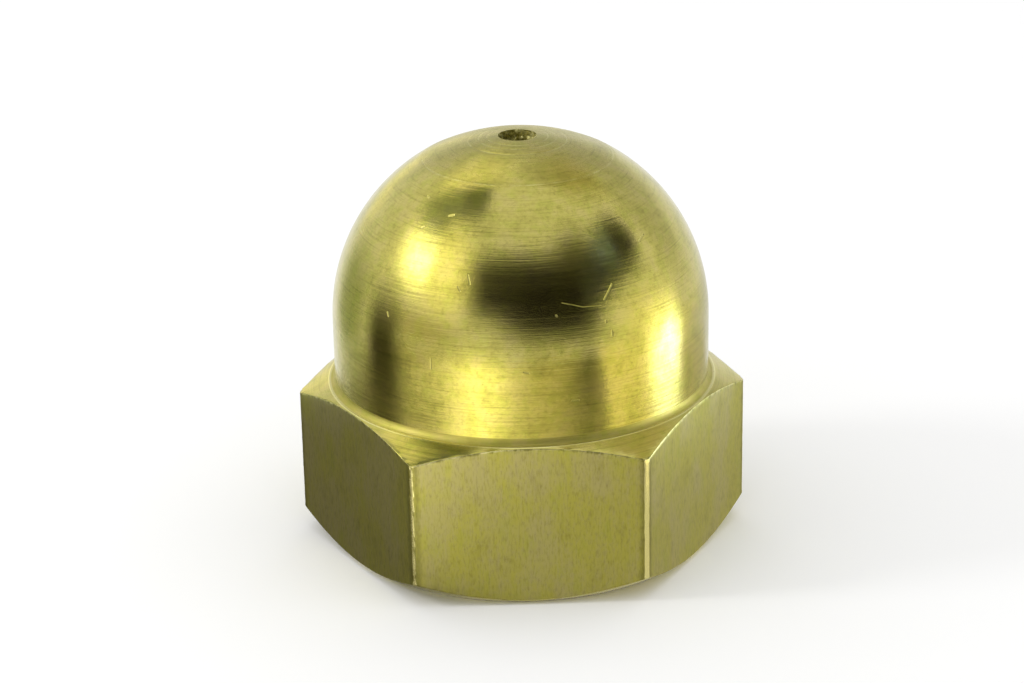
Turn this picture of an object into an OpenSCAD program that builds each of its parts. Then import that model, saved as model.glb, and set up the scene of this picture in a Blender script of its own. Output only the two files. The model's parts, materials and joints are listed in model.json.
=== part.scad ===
// Domed cap nut, one piece turned from drawn hexagonal brass bar. Sizes in millimetres.
// The thread's axis is Z. The bearing face lies on z = 0 and the dome points up.
// Two corners of the hexagon lie on the X axis, so one flat faces the front, -Y.

/* [Hexagon] */

// Width across the flats of the bar, the spanner size
flats_width = 13; // [12.8:0.1:14]
// Metal missing from each corner of the bar, which is drawn with its corners a little rounded
corner_relief = 0.04; // [0.02:0.01:0.2]
// Height of the upper edge of a flat, measured in the middle of the flat
hex_height = 5.45; // [4.5:0.05:6.5]
// Slope of the turned chamfer above the flats, in degrees from level
top_chamfer_angle = 27; // [15:1:35]
// Slope of the chamfer around the bearing face, in degrees from level
bottom_chamfer_angle = 33; // [15:1:45]
// Distance by which the edge of the bearing face is set in from the flats
bearing_inset = 0.25; // [0.1:0.05:0.8]

/* [Dome] */

// Height of the nut, from the bearing face to the crown of the dome
overall_height = 13.78; // [13.2:0.02:16]
// Distance by which the neck, and the round dome that caps it, is set in from the flats
neck_inset = 0.25; // [0.2:0.05:0.8]
// Radius left in the corner between the neck and the shoulder
fillet_radius = 0.2; // [0.1:0.05:0.5]
// Diameter of the flatter cap faced on the top of the dome
cap_diameter = 6.25; // [4:0.05:8]
// Radius of the cap's curve
cap_radius = 7; // [6.6:0.1:12]

/* [Centre pit] */

// Diameter of the pit in the middle of the cap
pit_diameter = 1.26; // [0.8:0.02:2]
// Depth of the pit's straight wall
pit_depth = 0.4; // [0.2:0.05:0.8]
// Angle of the pit's pointed floor, side to side
pit_point_angle = 140; // [110:1:160]

/* [Threaded hole] */

// Diameter of the bore's wall, the minor diameter of an M8 thread
bore_diameter = 6.65; // [6.4:0.05:7]
// Depth of the bore's straight wall, from the bearing face
bore_depth = 9; // [7:0.1:9.5]
// Angle of the drill point at the bore's blind end, side to side
drill_point_angle = 118; // [110:1:140]
// Diameter of the countersink in the bearing face
countersink_diameter = 8.6; // [8:0.1:9.5]
// Angle of the countersink, side to side
countersink_angle = 90; // [80:1:120]

/* [Hidden] */

// Fineness of the round shapes when they are drawn as a mesh
$fn = 96;
// Colour of the bare brass
brass = [0.68, 0.6, 0.28];
// Number of flats on the bar
flats = 6;
// Length by which a cutter or the bar runs past the metal it has to clear
overrun = 1;
flats_radius = flats_width / 2;
sharp_corner_radius = flats_radius / cos(180 / flats);
corner_radius = sharp_corner_radius - corner_relief;
bearing_radius = flats_radius - bearing_inset;
dome_radius = flats_radius - neck_inset;
shoulder_radius = dome_radius + fillet_radius;
// Heights at which the two chamfers reach the rounded corners, and the fillet reaches the upper chamfer
bottom_corner_z = (corner_radius - bearing_radius) * tan(bottom_chamfer_angle);
top_corner_z = hex_height - (corner_radius - flats_radius) * tan(top_chamfer_angle);
shoulder_z = hex_height - (shoulder_radius - flats_radius) * tan(top_chamfer_angle);
fillet_top_z = shoulder_z + fillet_radius;
// The cap ends where the dome is as wide as the cap, and the dome starts where the neck stops
cap_edge_radius = cap_diameter / 2;
cap_centre_z = overall_height - cap_radius;
cap_edge_z = cap_centre_z + sqrt(cap_radius * cap_radius - cap_edge_radius * cap_edge_radius);
neck_top = cap_edge_z - sqrt(dome_radius * dome_radius - cap_edge_radius * cap_edge_radius);
pit_radius = pit_diameter / 2;
pit_floor_z = overall_height - pit_depth;
bore_radius = bore_diameter / 2;
countersink_radius = countersink_diameter / 2;
countersink_depth = (countersink_radius - bore_radius) / tan(countersink_angle / 2);

// Half section of the bearing face, the chamfers, the shoulder and the neck
module body_section() {
    difference() {
        polygon([
            [0, 0],
            [bearing_radius, 0],
            [corner_radius, bottom_corner_z],
            [corner_radius, top_corner_z],
            [shoulder_radius, shoulder_z],
            [shoulder_radius, fillet_top_z],
            [dome_radius, fillet_top_z],
            [dome_radius, neck_top],
            [0, neck_top]
        ]);
        translate([shoulder_radius, fillet_top_z]) circle(r = fillet_radius);
    }
}

// Half section of the dome, cut down at the top by the flatter cap
module dome_section() {
    intersection() {
        translate([0, neck_top]) square([dome_radius, dome_radius]);
        translate([0, neck_top]) circle(r = dome_radius);
        translate([0, cap_centre_z]) circle(r = cap_radius);
    }
}

// Everything the lathe leaves of the outside, as if the bar were round
module turned_blank() {
    rotate_extrude() union() {
        body_section();
        dome_section();
    }
}

// The drawn hexagonal bar, longer than the nut at both ends
module hexagonal_bar() {
    translate([0, 0, -overrun])
        cylinder(r = sharp_corner_radius, h = overall_height + 2 * overrun, $fn = flats);
}

// The blind hole drilled and countersunk from the bearing face
module bore() {
    rotate_extrude() polygon([
        [0, -overrun],
        [countersink_radius + overrun * tan(countersink_angle / 2), -overrun],
        [bore_radius, countersink_depth],
        [bore_radius, bore_depth],
        [0, bore_depth + bore_radius / tan(drill_point_angle / 2)]
    ]);
}

// The shallow pit in the middle of the cap
module centre_pit() {
    rotate_extrude() polygon([
        [0, overall_height + overrun],
        [pit_radius, overall_height + overrun],
        [pit_radius, pit_floor_z],
        [0, pit_floor_z - pit_radius / tan(pit_point_angle / 2)]
    ]);
}

module cap_nut() {
    color(brass) difference() {
        intersection() {
            hexagonal_bar();
            turned_blank();
        }
        bore();
        centre_pit();
    }
}

cap_nut();
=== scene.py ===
import json
import math

import bpy
from mathutils import Matrix, Quaternion, Vector

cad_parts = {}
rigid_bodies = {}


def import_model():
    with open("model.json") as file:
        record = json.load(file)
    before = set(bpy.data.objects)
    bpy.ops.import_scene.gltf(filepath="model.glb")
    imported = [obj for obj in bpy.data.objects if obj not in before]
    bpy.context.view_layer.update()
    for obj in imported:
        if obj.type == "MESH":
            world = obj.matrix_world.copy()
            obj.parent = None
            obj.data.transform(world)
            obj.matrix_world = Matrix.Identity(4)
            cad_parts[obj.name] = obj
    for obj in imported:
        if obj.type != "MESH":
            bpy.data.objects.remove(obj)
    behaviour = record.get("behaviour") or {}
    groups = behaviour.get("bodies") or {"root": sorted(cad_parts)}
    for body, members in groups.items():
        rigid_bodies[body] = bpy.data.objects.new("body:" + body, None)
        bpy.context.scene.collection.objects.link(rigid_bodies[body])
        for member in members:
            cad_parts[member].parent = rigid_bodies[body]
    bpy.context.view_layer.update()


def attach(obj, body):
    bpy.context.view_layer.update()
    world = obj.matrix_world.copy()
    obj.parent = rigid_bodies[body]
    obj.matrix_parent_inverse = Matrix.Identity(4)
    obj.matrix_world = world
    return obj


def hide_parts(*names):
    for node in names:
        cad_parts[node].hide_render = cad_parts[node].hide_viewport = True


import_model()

# The bar. Brass drawn through a six-sided die, so its skin is dull, with a fine grain along the bar, and
# its corners come out slightly round. The nut is cut from it: the six flats are the bar's own skin.
mm = 0.001
flats = 6
flats_width = 13 * mm
corner_rounding = 0.1 * mm
corner_steps = 4
corner_fullness = 0.35
hexagon_height = 5.45 * mm
top_chamfer = math.radians(27)
bar_foot = -1 * mm
bar_head = 15 * mm


class Output:
    """An output of a shader node. Sums on it add Math nodes to the same material."""

    def __init__(self, tree, socket):
        self.tree = tree
        self.socket = socket

    def node(self, kind, settings=None, sockets=None, out=0):
        """Adds a node, makes its settings, then fills or links its sockets. Gives one of its outputs."""
        made = self.tree.nodes.new(kind)
        for name, value in (settings or {}).items():
            setattr(made, name, value)
        for name, value in (sockets or {}).items():
            if isinstance(value, Output):
                self.tree.links.new(value.socket, made.inputs[name])
            else:
                made.inputs[name].default_value = value
        return Output(self.tree, made.outputs[out])

    def math(self, operation, first, second):
        return self.node("ShaderNodeMath", {"operation": operation}, {0: first, 1: second})

    def __add__(self, other):
        return self.math("ADD", self, other)

    __radd__ = __add__

    def __sub__(self, other):
        return self.math("SUBTRACT", self, other)

    def __rsub__(self, other):
        return self.math("SUBTRACT", other, self)

    def __mul__(self, other):
        return self.math("MULTIPLY", self, other)

    __rmul__ = __mul__

    def over(self, low, high):
        """0 below low, 1 above high and a smooth rise between them."""
        settings = {"interpolation_type": "SMOOTHSTEP"}
        return self.node("ShaderNodeMapRange", settings, {"Value": self, "From Min": low, "From Max": high})

    def vector(self, operation, other, out=0):
        return self.node("ShaderNodeVectorMath", {"operation": operation}, {0: self, 1: other}, out)

    def noise(self, stretch, detail=2.0, roughness=0.5):
        """Noise on this place, with so many waves to a millimetre along each axis."""
        place = self.vector("MULTIPLY", stretch)
        sockets = {"Vector": place, "Scale": 1.0, "Detail": detail, "Roughness": roughness}
        return self.node("ShaderNodeTexNoise", {}, sockets)


def mixed(factor, first, second):
    """The first colour where the factor is 0 and the second where it is 1."""
    sockets = {0: factor}
    for name, colour in ((6, first), (7, second)):
        sockets[name] = colour if isinstance(colour, Output) else (*colour, 1)
    return factor.node("ShaderNodeMix", {"data_type": "RGBA"}, sockets, 2)


def new_finish(name, **constants):
    """A bare metal finish. Gives the material, its shader and the place on the nut in millimetres."""
    material = bpy.data.materials.new(name)
    material.use_nodes = True
    tree = material.node_tree
    shader = tree.nodes["Principled BSDF"]
    shader.inputs["Metallic"].default_value = 1
    for socket, value in constants.items():
        shader.inputs[socket.replace("_", " ")].default_value = value
    place = Output(tree, tree.nodes.new("ShaderNodeTexCoord").outputs["Object"])
    return material, shader, place.vector("MULTIPLY", (1 / mm, 1 / mm, 1 / mm))


def lay_on(shader, place, colour, roughness, height, depth):
    """Gives a finish its colour and roughness, and its fine relief of a depth in millimetres."""
    tree = place.tree
    sockets = {"Height": height, "Distance": depth * mm, "Strength": 1.0}
    relief = place.node("ShaderNodeBump", {}, sockets)
    tree.links.new(colour.socket, shader.inputs["Base Color"])
    tree.links.new(roughness.socket, shader.inputs["Roughness"])
    tree.links.new(relief.socket, shader.inputs["Normal"])


drawn_olive = (0.45, 0.425, 0.1)
drawn_green = (0.4, 0.405, 0.08)
drawn_grey = (0.45, 0.405, 0.205)
drawn_dark = (0.2, 0.185, 0.05)
# Pale brass for the corners and the flats' upper edges: partly brass rubbed bright, partly a painted
# highlight
rubbed_edge_glint = (0.92, 0.85, 0.44)
grain_depth = 0.003
drawn, shader, place = new_finish("drawn_brass", Anisotropic=0.4)
grain = place.noise((7, 7, 0.5), 3, 0.6)
fine_grain = place.noise((16, 16, 4), 3, 0.6)
speckle = place.noise((9, 9, 6), 2, 0.6)
patches = place.noise((0.7, 0.7, 0.4), 3)
stains = place.noise((1.9, 1.9, 1.1), 4, 0.65)
across = place.vector("MULTIPLY", (1, 1, 0))
radius = across.vector("LENGTH", (0, 0, 0), 1)
height = place.node("ShaderNodeSeparateXYZ", {}, {0: place}, 2)
right_side = place.node("ShaderNodeSeparateXYZ", {}, {0: place}, 0).over(-1, 1)
wobble = place.noise((5, 5, 4), 3, 0.65)
# How far a spot lies below the flat's upper edge, and how near a corner it is, in millimetres: a light line
# on the corner and a band of painted shade beside it
corner_line = (7.46, 7.466)
corner_shade = (7.37, 7.46)
below_edge = hexagon_height / mm - (radius - flats_width / 2 / mm) * math.tan(top_chamfer) - height
upper_edge = 1 - (below_edge + wobble * 0.14).over(0.07, 0.12)
edge_line_shade = (1 - below_edge.over(0.05, 0.12)) * wobble.over(0.5, 0.6)
# The corner line and the upper edge line are lighter, partly rubbed brass and partly a painted highlight. The
# corner line is painted wider on the right and the upper edge line brighter on the left, as the light falls
# there.
corner = (radius + wobble * 0.014 + right_side * 0.008).over(*corner_line)
beside_corner = (radius + wobble * 0.06).over(*corner_shade) * (1 - corner)
rubbed_and_glint = upper_edge.math("MAXIMUM", upper_edge * (0.7 - right_side * 0.5), corner)
greyness = patches.over(0.42, 0.6) * 0.55 + grain.over(0.4, 0.66) * 0.25 + speckle.over(0.45, 0.7) * 0.25
# Darker where the skin has fine grain, stains and speckle; the band beside each corner and the broken dashes
# under the upper edge are painted shade
darkness = fine_grain.over(0.45, 0.7) * 0.32 + stains.over(0.5, 0.75) * 0.25
darkness = darkness + speckle.over(0.55, 0.75) * 0.15 + beside_corner * 0.5 + edge_line_shade * 0.6
colour = mixed(stains.over(0.5, 0.35) * 0.6, drawn_olive, drawn_green)
colour = mixed(darkness, mixed(greyness, colour, drawn_grey), drawn_dark)
colour = mixed(rubbed_and_glint * 0.9, colour, rubbed_edge_glint)
roughness = (grain * 0.1 + patches * 0.1 + 0.28) * (1 - rubbed_and_glint * 0.4)
lay_on(shader, place, colour, roughness, grain + fine_grain * 0.5 + speckle * 0.4, grain_depth)


def pick(piece, kind, wanted):
    """Opens a piece in edit mode with only the wanted ones of its VERT, EDGE or FACE selected."""
    bpy.context.view_layer.objects.active = piece
    bpy.ops.object.mode_set(mode="EDIT")
    bpy.ops.mesh.select_mode(type=kind)
    bpy.ops.mesh.select_all(action="DESELECT")
    bpy.ops.object.mode_set(mode="OBJECT")
    parts = {"VERT": piece.data.vertices, "EDGE": piece.data.edges, "FACE": piece.data.polygons}
    for part in parts[kind]:
        part.select = wanted(part)
    bpy.ops.object.mode_set(mode="EDIT")


bpy.ops.object.select_all(action="DESELECT")
bpy.ops.mesh.primitive_cylinder_add(
    vertices=flats,
    radius=flats_width / 2 / math.cos(math.pi / flats),
    depth=bar_head - bar_foot,
    location=(0, 0, (bar_head + bar_foot) / 2),
    rotation=(0, 0, math.pi / flats),
)
bpy.ops.object.transform_apply(location=True, rotation=True, scale=True)
nut = bpy.context.object
nut.name = nut.data.name = "brass_cap_nut"
nut.data.materials.append(drawn)


def stands_up(edge):
    foot, head = (nut.data.vertices[i].co for i in edge.vertices)
    return abs(head.z - foot.z) > (bar_head - bar_foot) / 2


pick(nut, "EDGE", stands_up)
bpy.ops.mesh.bevel(
    offset=corner_rounding, segments=corner_steps, profile=corner_fullness, affect="EDGES"
)
bpy.ops.object.mode_set(mode="OBJECT")

# The turned outside. On the lathe the bar gets its two chamfers, the neck and the round dome, and the top
# is faced to a flatter cap with a torn pit in its middle. A fine tool leaves rings round the whole of it.
dome_radius = 6.25 * mm
dome_centre = 7.631 * mm
cap_edge = 3.125 * mm
cap_radius = 7 * mm
cap_centre = 6.78 * mm
pit_radius = 0.63 * mm
pit_floor = 13.38 * mm
pit_tip = 13.151 * mm
fillet_radius = 0.2 * mm
shoulder_height = 5.4755 * mm
bearing_radius = 6.25 * mm
bottom_chamfer = math.radians(33)
blank_radius = 7.7 * mm
lathe_steps = 120
blank_set = 1.5
merge_distance = 0.0001 * mm
# Radius, half width and depth in millimetres of the rings that the facing tool has left round the pit
# and at the cap's edge
cap_rings = ((1.0, 0.05, 0.003), (1.27, 0.04, 0.003), (1.62, 0.05, 0.005), (3.125, 0.05, 0.006))


def start_section(r, z):
    """Starts a half section in the XZ plane with one point."""
    bpy.ops.object.select_all(action="DESELECT")
    bpy.ops.mesh.primitive_plane_add(size=mm, location=(0, 0, 0))
    bpy.ops.object.mode_set(mode="EDIT")
    bpy.ops.mesh.select_mode(type="VERT")
    bpy.ops.mesh.select_all(action="SELECT")
    bpy.ops.mesh.merge(type="CENTER")
    bpy.ops.transform.translate(value=(r, 0, z))
    return bpy.context.object, (r, z)


def line_to(pen, r, z, pieces=1):
    """Draws a straight line on from the pen, in a number of pieces."""
    step = ((r - pen[0]) / pieces, 0, (z - pen[1]) / pieces)
    for _ in range(pieces):
        bpy.ops.mesh.extrude_region_move(TRANSFORM_OT_translate={"value": step})
    return r, z


def arc_to(pen, middle, r, z, pieces):
    """Draws an arc on from the pen about a middle, the shorter way round."""
    start = math.atan2(pen[1] - middle[1], pen[0] - middle[0])
    end = math.atan2(z - middle[1], r - middle[0])
    sweep = (end - start + math.pi) % (2 * math.pi) - math.pi
    bpy.ops.mesh.spin(steps=pieces, angle=sweep, center=(middle[0], 0, middle[1]), axis=(0, 1, 0))
    return r, z


def set_round(degrees):
    """Sets the half section round the lathe's axis, so that no two cuts have their edges in one plane."""
    bpy.ops.mesh.select_all(action="SELECT")
    bpy.ops.transform.rotate(value=math.radians(degrees), orient_axis="Z", center_override=(0, 0, 0))


def turn_round(steps):
    """Turns the half section once round the lathe's axis and closes it."""
    bpy.ops.mesh.select_all(action="SELECT")
    bpy.ops.mesh.spin(steps=steps, angle=2 * math.pi, center=(0, 0, 0), axis=(0, 0, 1))
    bpy.ops.mesh.select_all(action="SELECT")
    bpy.ops.mesh.remove_doubles(threshold=merge_distance)
    bpy.ops.mesh.normals_make_consistent(inside=False)
    bpy.ops.object.mode_set(mode="OBJECT")


def cap_height(r):
    return cap_centre + math.sqrt(cap_radius * cap_radius - r * r)


blank, pen = start_section(0, pit_tip)
pen = line_to(pen, pit_radius, pit_floor, 8)
pen = line_to(pen, pit_radius, cap_height(pit_radius), 5)
for ring, half_width, depth in cap_rings:
    ring, half_width, depth = ring * mm, half_width * mm, depth * mm
    inner, outer = ring - half_width, ring + half_width
    pen = arc_to(pen, (0, cap_centre), inner, cap_height(inner), 6)
    pen = line_to(pen, ring, cap_height(ring) - depth, 2)
    if ring < cap_edge:
        pen = line_to(pen, outer, cap_height(outer), 2)
    else:
        pen = line_to(pen, outer, dome_centre + math.sqrt(dome_radius * dome_radius - outer * outer), 2)
pen = arc_to(pen, (0, dome_centre), dome_radius, dome_centre, 40)
pen = line_to(pen, dome_radius, shoulder_height + fillet_radius, 6)
fillet_middle = (dome_radius + fillet_radius, shoulder_height + fillet_radius)
pen = arc_to(pen, fillet_middle, dome_radius + fillet_radius, shoulder_height, 12)
chamfer_drop = (blank_radius - pen[0]) * math.tan(top_chamfer)
pen = line_to(pen, blank_radius, pen[1] - chamfer_drop, 8)
pen = line_to(pen, blank_radius, (blank_radius - bearing_radius) * math.tan(bottom_chamfer))
pen = line_to(pen, bearing_radius, 0, 5)
pen = line_to(pen, 0, 0, 2)
set_round(blank_set)
turn_round(lathe_steps)
blank.name = "turned_blank"

turned_brass = (0.54, 0.485, 0.122)
turned_green = (0.5, 0.485, 0.1)
turned_pink = (0.56, 0.475, 0.165)
turned_dark = (0.27, 0.24, 0.05)
nick_and_glint_light = (0.75, 0.7, 0.3)
tool_mark_depth = 0.004
# Heights in millimetres between which the fillet, its sharp lip, the neck and the faced cap come in or go out
fillet_foot = (5.465, 5.5)
fillet_head = (5.66, 5.72)
lip_foot = (5.452, 5.458)
lip_head = (5.476, 5.49)
neck_foot = (5.66, 5.8)
facing_foot = (12.9, 13.0)
cap_foot = (12.95, 13.05)
turned, shader, place = new_finish("turned_brass", Anisotropic=0.65, Anisotropic_Rotation=0.25)
across = place.vector("MULTIPLY", (1, 1, 0))
radius = across.vector("LENGTH", (0, 0, 0), 1)
height = place.node("ShaderNodeSeparateXYZ", {}, {0: place}, 2)
round_it = across.node("ShaderNodeVectorMath", {"operation": "NORMALIZE"}, {0: across})


def ring_noise(fineness, length, detail=2.0, seed=0.0):
    """Noise drawn out along the lathe's rings: so many to a millimetre, and so many round the nut."""
    around = round_it.vector("MULTIPLY", (length, length, 0))
    stack = radius.node("ShaderNodeCombineXYZ", {}, {2: radius * fineness})
    spot = around.vector("ADD", stack)
    sockets = {"Vector": spot, "W": height * fineness + seed, "Scale": 1.0, "Detail": detail}
    return spot.node("ShaderNodeTexNoise", {"noise_dimensions": "4D"}, sockets)


def on_dome(azimuth, z):
    """The spot on the dome or neck at an azimuth from the front and a height, in millimetres."""
    above = max(z - dome_centre / mm, 0)
    r = math.sqrt((dome_radius / mm) ** 2 - above * above)
    a = math.radians(azimuth)
    return Vector((r * math.sin(a), -r * math.cos(a), z))


def scratch(start, end, width):
    """1 along a scratch from one spot to another and 0 beyond its width."""
    way = end - start
    here = place.vector("SUBTRACT", tuple(start))
    along = here.vector("DOT_PRODUCT", tuple(way / way.length_squared), 1)
    along = along.node("ShaderNodeClamp", {}, {0: along})
    nearest = along.node("ShaderNodeVectorMath", {"operation": "SCALE"}, {0: tuple(way), "Scale": along})
    return 1 - here.vector("DISTANCE", nearest, 1).over(width * 0.4, width)


# Nicks and scratches on the dome: azimuth in degrees and height of both ends, and width, in millimetres
nicks = (
    (-50.4, 12.55, -48.8, 12.54, 0.045),
    (-32.9, 12.24, -30.8, 12.28, 0.05),
    (-43.3, 11.81, -42.3, 11.86, 0.04),
    (-45.9, 9.31, -45.3, 9.20, 0.04),
    (-28.8, 8.17, -28.7, 7.84, 0.03),
    (25.4, 9.92, 29.0, 10.29, 0.05),
    (46.3, 11.22, 49.9, 11.34, 0.045),
    (24.7, 9.30, 24.8, 9.25, 0.04),
    (26.3, 8.95, 26.3, 8.82, 0.045),
    (11.4, 10.00, 14.8, 9.91, 0.015),
    (14.8, 9.91, 17.9, 9.81, 0.015),
    (17.9, 9.81, 23.8, 9.77, 0.012),
    (9.2, 9.65, 9.4, 9.62, 0.045),
    (12.9, 6.88, 15.0, 6.87, 0.03),
    (-0.9, 7.95, 0.5, 7.90, 0.03),
    (-19.0, 10.80, -18.0, 10.56, 0.03),
    (-21.9, 10.45, -21.0, 10.34, 0.03),
)
nicked = None
for azimuth_1, z_1, azimuth_2, z_2, width in nicks:
    mark = scratch(on_dome(azimuth_1, z_1), on_dome(azimuth_2, z_2), width)
    nicked = mark if nicked is None else nicked.math("MAXIMUM", nicked, mark)

rings = ring_noise(8, 1.6, 3)
hairlines = ring_noise(26, 4, 2, 7.0)
streaks = ring_noise(14, 2.2, 2, 31.0)
mottle = place.noise((1.3, 1.3, 1.3), 4, 0.65)
blotches = place.noise((3.1, 3.1, 2.6), 3, 0.6)
speckle = place.noise((8, 8, 9), 3, 0.6)
pits = place.noise((6, 6, 8), 2, 0.5)
on_neck = height.over(*neck_foot)
fillet = height.over(*fillet_foot) * (1 - height.over(*fillet_head))
lip = height.over(*lip_foot) * (1 - height.over(*lip_head))
cap = height.over(*cap_foot)
facing_lines = None
for ring, _, _ in cap_rings:
    off_ring = radius - ring
    line = 1 - off_ring.math("ABSOLUTE", off_ring, 0).over(0.01, 0.04)
    facing_lines = line if facing_lines is None else facing_lines.math("MAXIMUM", facing_lines, line)
facing_lines = facing_lines * height.over(*facing_foot) * blotches.over(0.35, 0.65)
wear_and_lit_fillet = hairlines.over(0.5, 0.78) * 0.35 + streaks.over(0.5, 0.75) * 0.3 + mottle.over(0.45, 0.75) * 0.35
wear_and_lit_fillet = wear_and_lit_fillet + (speckle.over(0.45, 0.75) * 0.3 + pits.over(0.66, 0.76) * 0.3) * on_neck
# The cap is a little darker; the fillet is painted lighter, a painted sheen where it catches the light
wear_and_lit_fillet = wear_and_lit_fillet + cap * 0.14 - fillet * 0.1
# Lighter lines: the facing rings and the nicks, partly fresh bright metal and partly a painted glint, and a
# painted highlight along the fillet's sharp lip
bright_lines = facing_lines * 0.4 + nicked * 0.2 + lip * 0.8
colour = mixed(blotches.over(0.42, 0.66) * 0.8, turned_brass, turned_green)
colour = mixed(mottle.over(0.55, 0.35) * 0.6, colour, turned_pink)
colour = mixed(bright_lines, mixed(wear_and_lit_fillet, colour, turned_dark), nick_and_glint_light)
roughness = mottle * 0.1 + rings * 0.06 + speckle * 0.06 + cap * 0.08 + nicked * 0.2 + 0.09
roughness = roughness + fillet * 0.35
relief = rings + hairlines * 0.5 + streaks * 0.5 + speckle * on_neck * 0.5 - nicked * 1.3
lay_on(shader, place, colour, roughness, relief, tool_mark_depth)
blank.data.materials.append(turned)
cut_merge = 0.0005 * mm


def cut(piece, operation, tool):
    """Cuts a piece with a tool, each face keeping its own finish, and takes the tool away."""
    bpy.ops.object.select_all(action="DESELECT")
    bpy.context.view_layer.objects.active = piece
    piece.select_set(True)
    step = piece.modifiers.new(operation, "BOOLEAN")
    step.operation = operation
    step.solver = "EXACT"
    step.material_mode = "TRANSFER"
    step.object = tool
    bpy.ops.object.modifier_apply(modifier=step.name)
    bpy.data.objects.remove(tool)
    pick(piece, "VERT", lambda vertex: True)
    bpy.ops.mesh.remove_doubles(threshold=cut_merge)
    bpy.ops.object.mode_set(mode="OBJECT")


cut(nut, "INTERSECT", blank)

# The hole. Drilled blind from the bearing face, countersunk at its mouth and tapped with a right-hand
# thread of 8 mm by 1.25 mm, which stops short of the drill's point.
bore_radius = 3.325 * mm
bore_depth = 9 * mm
drill_tip = 10.998 * mm
countersink_depth = 0.975 * mm
mouth = -0.5 * mm
thread_radius = 4 * mm
pitch = 1.25 * mm
thread_root = 0.156 * mm
thread_flank = math.radians(30)
thread_turns = 7
thread_steps = 64
tap_overlap = 0.05 * mm
tap_set = 0.7
drill_steps = 120
drill_set = 2.8

drill, pen = start_section(0, mouth)
pen = line_to(pen, bore_radius + countersink_depth - mouth, mouth, 1)
pen = line_to(pen, bore_radius, countersink_depth, 4)
pen = line_to(pen, bore_radius, bore_depth, 4)
pen = line_to(pen, 0, drill_tip, 4)
set_round(drill_set)
turn_round(drill_steps)
drill.data.materials.append(turned)
cut(nut, "DIFFERENCE", drill)

tapped_brass = (0.47, 0.42, 0.125)
tapped_dark = (0.3, 0.25, 0.06)
smear_depth = 0.004
tapped, shader, place = new_finish("tapped_brass")
smears = place.noise((4, 4, 4), 3)
colour = mixed(smears.over(0.45, 0.75), tapped_brass, tapped_dark)
lay_on(shader, place, colour, smears * 0.15 + 0.2, smears, smear_depth)

inside = bore_radius - tap_overlap
half_root = thread_root / 2
half_mouth = half_root + (thread_radius - inside) * math.tan(thread_flank)
tap, pen = start_section(inside, mouth - half_mouth)
pen = line_to(pen, thread_radius, mouth - half_root)
pen = line_to(pen, thread_radius, mouth + half_root)
pen = line_to(pen, inside, mouth + half_mouth)
pen = line_to(pen, inside, mouth - half_mouth)
set_round(tap_set)
bpy.ops.mesh.remove_doubles(threshold=merge_distance)
bpy.ops.object.mode_set(mode="OBJECT")
helix = tap.modifiers.new("helix", "SCREW")
helix.axis = "Z"
helix.angle = 2 * math.pi
helix.screw_offset = pitch
helix.iterations = thread_turns
helix.steps = helix.render_steps = thread_steps
helix.use_merge_vertices = False
bpy.ops.object.modifier_apply(modifier="helix")
bpy.ops.object.mode_set(mode="EDIT")
bpy.ops.mesh.select_all(action="SELECT")
bpy.ops.mesh.fill_holes(sides=0)
bpy.ops.mesh.select_all(action="SELECT")
bpy.ops.mesh.normals_make_consistent(inside=False)
bpy.ops.object.mode_set(mode="OBJECT")
tap.data.materials.append(tapped)
cut(nut, "DIFFERENCE", tap)

# The edges. The tool has left a slight burr where the chamfers meet the flats, rubbed round with use, and
# the corners of the hexagon are dented from lying among other nuts.
whole_flat = 20 * mm * mm
flat_border = 0.06 * mm
border_start = 7.42 * mm
corner_start = 7.45 * mm
corner_length = 2 * mm
corner_pieces = 24
edge_rounding = 0.03 * mm
waist = 3 * mm
burr = 0.005 * mm
dent = 0.006 * mm

pick(nut, "FACE", lambda face: face.material_index == 0 and face.area > whole_flat)
bpy.ops.mesh.inset(thickness=flat_border, use_individual=True)
bpy.ops.mesh.inset(thickness=flat_border, use_individual=True)
bpy.ops.object.mode_set(mode="OBJECT")


def along_corner(edge):
    foot, head = (nut.data.vertices[i].co for i in edge.vertices)
    return min(foot.xy.length, head.xy.length) > border_start and abs(head.z - foot.z) > corner_length


pick(nut, "EDGE", along_corner)
bpy.ops.mesh.subdivide(number_cuts=corner_pieces)
bpy.ops.object.mode_set(mode="OBJECT")
pick(nut, "FACE", lambda face: face.material_index == 0)
bpy.ops.mesh.region_to_loop()
bpy.ops.mesh.bevel(offset=edge_rounding, segments=2, affect="EDGES")
bpy.ops.object.mode_set(mode="OBJECT")
rounded = {vertex.index for vertex in nut.data.vertices if vertex.select}
pick(nut, "VERT", lambda vertex: vertex.index in rounded and vertex.co.z > waist)
bpy.ops.transform.shrink_fatten(value=-burr)
bpy.ops.transform.vertex_random(offset=burr, seed=5)
bpy.ops.object.mode_set(mode="OBJECT")
pick(nut, "VERT", lambda vertex: vertex.index not in rounded and vertex.co.xy.length > corner_start)
bpy.ops.transform.shrink_fatten(value=-dent)
bpy.ops.transform.vertex_random(offset=dent, seed=11)
bpy.ops.object.mode_set(mode="OBJECT")

# The pit. The nut was parted from the bar at the top of the dome, where its last thread of metal tore off
# and left a rough hollow, dark with dirt.
pit_level = 12 * mm
lump_size = 0.2 * mm
tear_height = 0.2 * mm
tear_middle = 0.55
torn_light = (0.68, 0.64, 0.31)
torn_dark = (0.32, 0.3, 0.095)
crumb_depth = 0.05
torn, shader, place = new_finish("torn_brass")
crumbs = place.noise((7, 7, 7), 3, 0.6)
colour = mixed(crumbs.over(0.4, 0.65), torn_dark, torn_light)
lay_on(shader, place, colour, crumbs * 0.2 + 0.5, crumbs, crumb_depth)
nut.data.materials.append(torn)


def in_pit(face):
    middle = face.center
    return middle.z > pit_level and middle.xy.length < pit_radius


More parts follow.
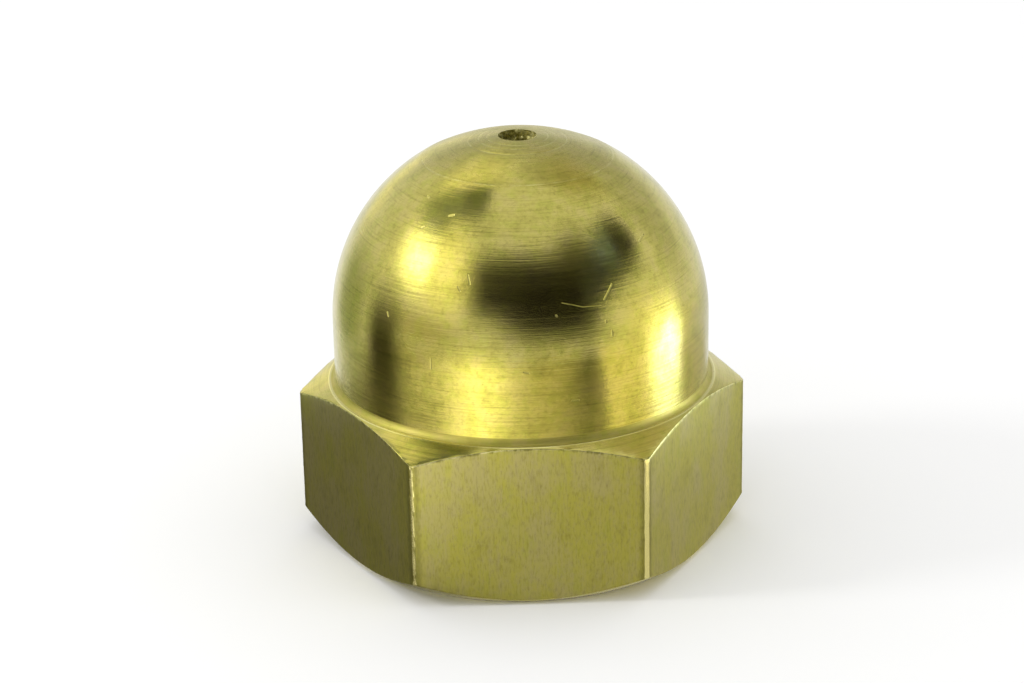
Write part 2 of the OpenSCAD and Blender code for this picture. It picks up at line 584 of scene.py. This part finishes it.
pick(nut, "FACE", in_pit)
nut.active_material_index = len(nut.data.materials) - 1
bpy.ops.object.material_slot_assign()
bpy.ops.mesh.select_less()
bpy.ops.object.vertex_group_add()
bpy.ops.object.vertex_group_assign()
bpy.ops.object.mode_set(mode="OBJECT")
torn_lumps = bpy.data.textures.new("torn_lumps", "CLOUDS")
torn_lumps.noise_scale = lump_size
torn_lumps.noise_depth = 1
tear = nut.modifiers.new("tear", "DISPLACE")
tear.texture = torn_lumps
tear.texture_coords = "LOCAL"
tear.vertex_group = nut.vertex_groups[0].name
tear.strength = tear_height
tear.mid_level = tear_middle
bpy.ops.object.modifier_apply(modifier="tear")

# The finished nut. One piece of brass, round where it was turned and flat where it was drawn, with its edges
# left crisp. It stands for the CAD solid and has no moving part.
crisp_from = math.radians(18)
bpy.ops.object.select_all(action="DESELECT")
nut.select_set(True)
bpy.ops.object.shade_smooth_by_angle(angle=crisp_from)
even = nut.modifiers.new("even", "WEIGHTED_NORMAL")
even.keep_sharp = True
bpy.ops.object.modifier_apply(modifier="even")

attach(nut, "root")
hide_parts("cap_nut")

# The floor. A wide sheet of plain matt white paper that the nut stands on. It lies a hair below the bearing
# face, so that the two do not share a plane.
floor_size = 2.0
floor_gap = 0.01 * mm
floor_colour = (0.96, 0.96, 0.96, 1)
bpy.ops.object.select_all(action="DESELECT")
bpy.ops.mesh.primitive_plane_add(size=floor_size, location=(0, 0, -floor_gap))
bpy.ops.object.transform_apply(location=True, rotation=True, scale=True)
floor = bpy.context.object
floor.name = "floor"
paper = bpy.data.materials.new("white_paper")
paper.use_nodes = True
shader = paper.node_tree.nodes["Principled BSDF"]
shader.inputs["Base Color"].default_value = floor_colour
shader.inputs["Roughness"].default_value = 1
shader.inputs["Specular IOR Level"].default_value = 0
floor.data.materials.append(paper)

# The studio. A white room, a lamp at the left, and cards round the nut that only its polish shows: bright
# ones for reflectors, dark ones for the camera and its stand, and dark ones for painted shade close to the
# nut.
room = bpy.data.worlds.new("white_room")
room.use_nodes = True
room.node_tree.nodes["Background"].inputs["Color"].default_value = (1, 1, 1, 1)
room.node_tree.nodes["Background"].inputs["Strength"].default_value = 1
bpy.context.scene.world = room

aim_height = 8
aim = Vector((0, 0, aim_height)) * mm


def card(name, place, width, height, light, turn=0, soft=0.4, lying=False, upright=False):
    """A card that only polished metal shows, facing the dome, standing upright or lying on the floor.

    It is turned in its own plane by so many degrees. Its light fades out over a soft part of its width
    and height, and half of it is left at the width and height given.
    """
    place = Vector(place) * mm
    towards = Vector((0, 0, place.z)) if upright else aim
    facing = Quaternion() if lying else (towards - place).to_track_quat("Z", "Y")
    facing = (facing @ Quaternion((0, 0, 1), math.radians(turn))).to_euler()
    bpy.ops.object.select_all(action="DESELECT")
    bpy.ops.mesh.primitive_plane_add(size=1, location=place, rotation=facing)
    sheet = bpy.context.object
    sheet.name = name
    sheet.scale = (width * mm / (1 - soft), height * mm / (1 - soft), 1)
    bpy.ops.object.transform_apply(location=True, rotation=True, scale=True)
    glow = bpy.data.materials.new(name)
    glow.use_nodes = True
    tree = glow.node_tree
    tree.nodes.remove(tree.nodes["Principled BSDF"])
    spot = Output(tree, tree.nodes.new("ShaderNodeTexCoord").outputs["UV"])
    fade = None
    for axis in (0, 1):
        side = spot.node("ShaderNodeSeparateXYZ", {}, {0: spot}, axis) - 0.5
        side = 1 - side.math("ABSOLUTE", side, 0).over(0.5 - soft, 0.5)
        fade = side if fade is None else fade * side
    clear = spot.node("ShaderNodeBsdfTransparent")
    lit = spot.node("ShaderNodeEmission", {}, {"Color": (*light[:3], 1), "Strength": light[3]})
    shown = spot.node("ShaderNodeMixShader", {}, {0: fade, 1: clear, 2: lit})
    tree.links.new(shown.socket, tree.nodes["Material Output"].inputs["Surface"])
    sheet.data.materials.append(glow)
    sheet.visible_camera = False
    sheet.visible_diffuse = False
    sheet.visible_shadow = False
    sheet.visible_transmission = False
    sheet.visible_volume_scatter = False


def far(azimuth, elevation, distance):
    """The place so far from the dome, to the right of the camera's side and above the level."""
    a, e = math.radians(azimuth), math.radians(elevation)
    level = distance * math.cos(e)
    return (level * math.sin(a), -level * math.cos(a), aim_height + distance * math.sin(e))


def span(degrees, distance):
    """Width of a card that takes up so many degrees at a distance."""
    return 2 * distance * math.tan(math.radians(degrees / 2))


neutral = (1, 1, 1)
warm = (1, 0.95, 0.68)
tan = (1, 0.91, 0.55)
cool = (0.85, 1, 1.3)
sky = (0.75, 1, 1.7)
leafy = (0.81, 1, 0.72)
sage = (0.9, 1, 0.66)
# What is high up: the camera and its stand, flags, and the lamp's glow on its screen
card("camera_card", far(8, 32.5, 85), span(77, 85), span(41, 85), (*tan, 0.005), 8, 0.26)
card("camera_top", far(45, 48, 90), span(24, 90), span(17, 90), (*tan, 0.05), -8, 0.5)
card("camera_foot", far(16, 11, 84), span(54, 84), span(19, 84), (*tan, 0.005), 4, 0.4)
card("sky_card", far(64, 34, 89), span(50, 89), span(27, 89), (*cool, 0.045), -15, 0.2)
card("sky_glint", far(71, 40, 88.5), span(16, 88.5), span(12, 88.5), (*sky, 0.34), -15, 0.5)
card("stand_card", far(88, 37.5, 88), span(18, 88), span(15, 88), (*tan, 0.005), -15, 0.25)
card("lamp_screen", far(-68, 36, 140), span(53, 140), span(33, 140), (*warm, 2.0), 14, 0.45)
card("lamp_glow", far(-79, 33.5, 139), span(28, 139), span(15, 139), (*neutral, 4), 0, 0.5)
card("high_flag", far(-102, 70, 110), span(25, 110), span(13, 110), (*leafy, 0.14), 5, 0.3)
card("leafy_flag", far(-104, 58, 120), span(23, 120), span(31, 120), (*leafy, 0.32), 5, 0.25)
card("low_flag", far(-95, 48, 118), span(20, 118), span(14, 118), (*leafy, 0.22), 0, 0.4)
card("left_back_glow", far(-149, 58, 121), span(28, 121), span(20, 121), (*warm, 1.65), 0, 0.35)
card("back_glow", far(-161, 8, 125), span(36, 125), span(13, 125), (*warm, 1.3))
card("left_low_shade", far(-62, 1, 110), span(44, 110), span(14, 110), (*tan, 0.5), 0, 0.45)
card("right_back_flag", far(141, 57, 120), span(28, 120), span(24, 120), (*tan, 0.6), 0, 0.3)
card("right_side_flag", far(120, 22, 120), span(22, 120), span(34, 120), (*neutral, 0.7))
card("back_wall", far(163, 32, 130), span(70, 130), span(34, 130), (*neutral, 0.62))
# What stands on the floor close to the nut
card("left_flag", (-20, -3.4, 3.6), 8.6, 17.5, (*tan, 0.045))
card("left_back_flag", (-18.5, 7.5, 6.3), 12, 12, (*sage, 0.52))
# A low dark upright card beside the left flat: painted shade, seen only in the metal
card("left_upright_shade", (-9.3, -1.9, 1.5), 13, 3.4, (*warm, 0.24), 0, 0.2, upright=True)
card("right_strip", (18, -3.3, 4.8), 8, 9.5, (*warm, 2.5))
card("right_glow", (17.9, -2.7, 4.2), 6, 5, (*cool, 6.5))
card("right_screen", far(68, 1, 30), span(28, 30), span(22, 30), (*warm, 1.35), 0, 0.5)
# What lies on the floor: shades and bright sheets
card("front_shade", (12, -32, 0.02), 30, 46, (*tan, 0.76), 20, 0.4, True)
card("left_front_shade", (-40, -18, 0.025), 44, 26, (*warm, 0.6), 25, 0.4, True)
card("left_shade", (-12.5, -1.4, 0.08), 15.5, 20, (*warm, 0.22), 30, 0.2, True)
card("front_sheet", (-17, -33, 0.03), 20, 46, (*warm, 2.0), -27, 0.5, True)
card("front_glow", (-10, -24, 0.04), 9, 14, (*warm, 3.0), -27, 0.5, True)
card("seam", (20.5, -29.3, 0.04), 8, 60, (*tan, 0.1), 41, 0.5, True)
card("right_sheet", (41.7, -10.9, 0.05), 46, 70, (*tan, 1.4), 41, 0.03, True)
card("right_shade", (12.5, 1.2, 0.07), 22, 20, (*warm, 0.62), 28.6, 0.2, True)
card("right_back_shade", (24, 19, 0.06), 26, 30, (*neutral, 0.8), 38, 0.4, True)
card("near_shade", (3, -13, 0.075), 14, 12, (*warm, 0.68), 0, 0.35, True)

lamp_place = far(-83.5, 33, 150)
lamp_size = 34 * mm
lamp_power = 0.04
lamp_data = bpy.data.lights.new("left_lamp", "AREA")
lamp_data.shape = "DISK"
lamp_data.size = lamp_size
lamp_data.energy = lamp_power
lamp = bpy.data.objects.new("left_lamp", lamp_data)
lamp.location = Vector(lamp_place) * mm
lamp.rotation_euler = (aim - lamp.location).to_track_quat("-Z", "Y").to_euler()
lamp.visible_camera = False
bpy.context.scene.collection.objects.link(lamp)

# The camera. It stands in front of the nut and a little to its left, looks down at it through a long lens,
# and is rolled slightly.
azimuth = math.radians(-1.372)
elevation = math.radians(21.270)
roll = math.radians(-1.133)
distance = 93.924 * mm
target = Vector((-0.303, 0.007, 6.553)) * mm
focal_length = 98.78
sensor_width = 36

back = Vector(
    (
        math.sin(azimuth) * math.cos(elevation),
        -math.cos(azimuth) * math.cos(elevation),
        math.sin(elevation),
    )
)
right = Vector((math.cos(azimuth), math.sin(azimuth), 0))
up = back.cross(right)
right_rolled = right * math.cos(roll) + up * math.sin(roll)
up_rolled = up * math.cos(roll) - right * math.sin(roll)
camera_data = bpy.data.cameras.new("camera")
camera_data.lens = focal_length
camera_data.sensor_width = sensor_width
camera_data.sensor_fit = "HORIZONTAL"
camera_data.clip_start = mm
camera = bpy.data.objects.new("camera", camera_data)
turned_to = Matrix((right_rolled, up_rolled, back)).transposed()
camera.matrix_world = Matrix.Translation(target + back * distance) @ turned_to.to_4x4()
bpy.context.scene.collection.objects.link(camera)
bpy.context.scene.camera = camera
bpy.context.scene.view_settings.view_transform = "Standard"
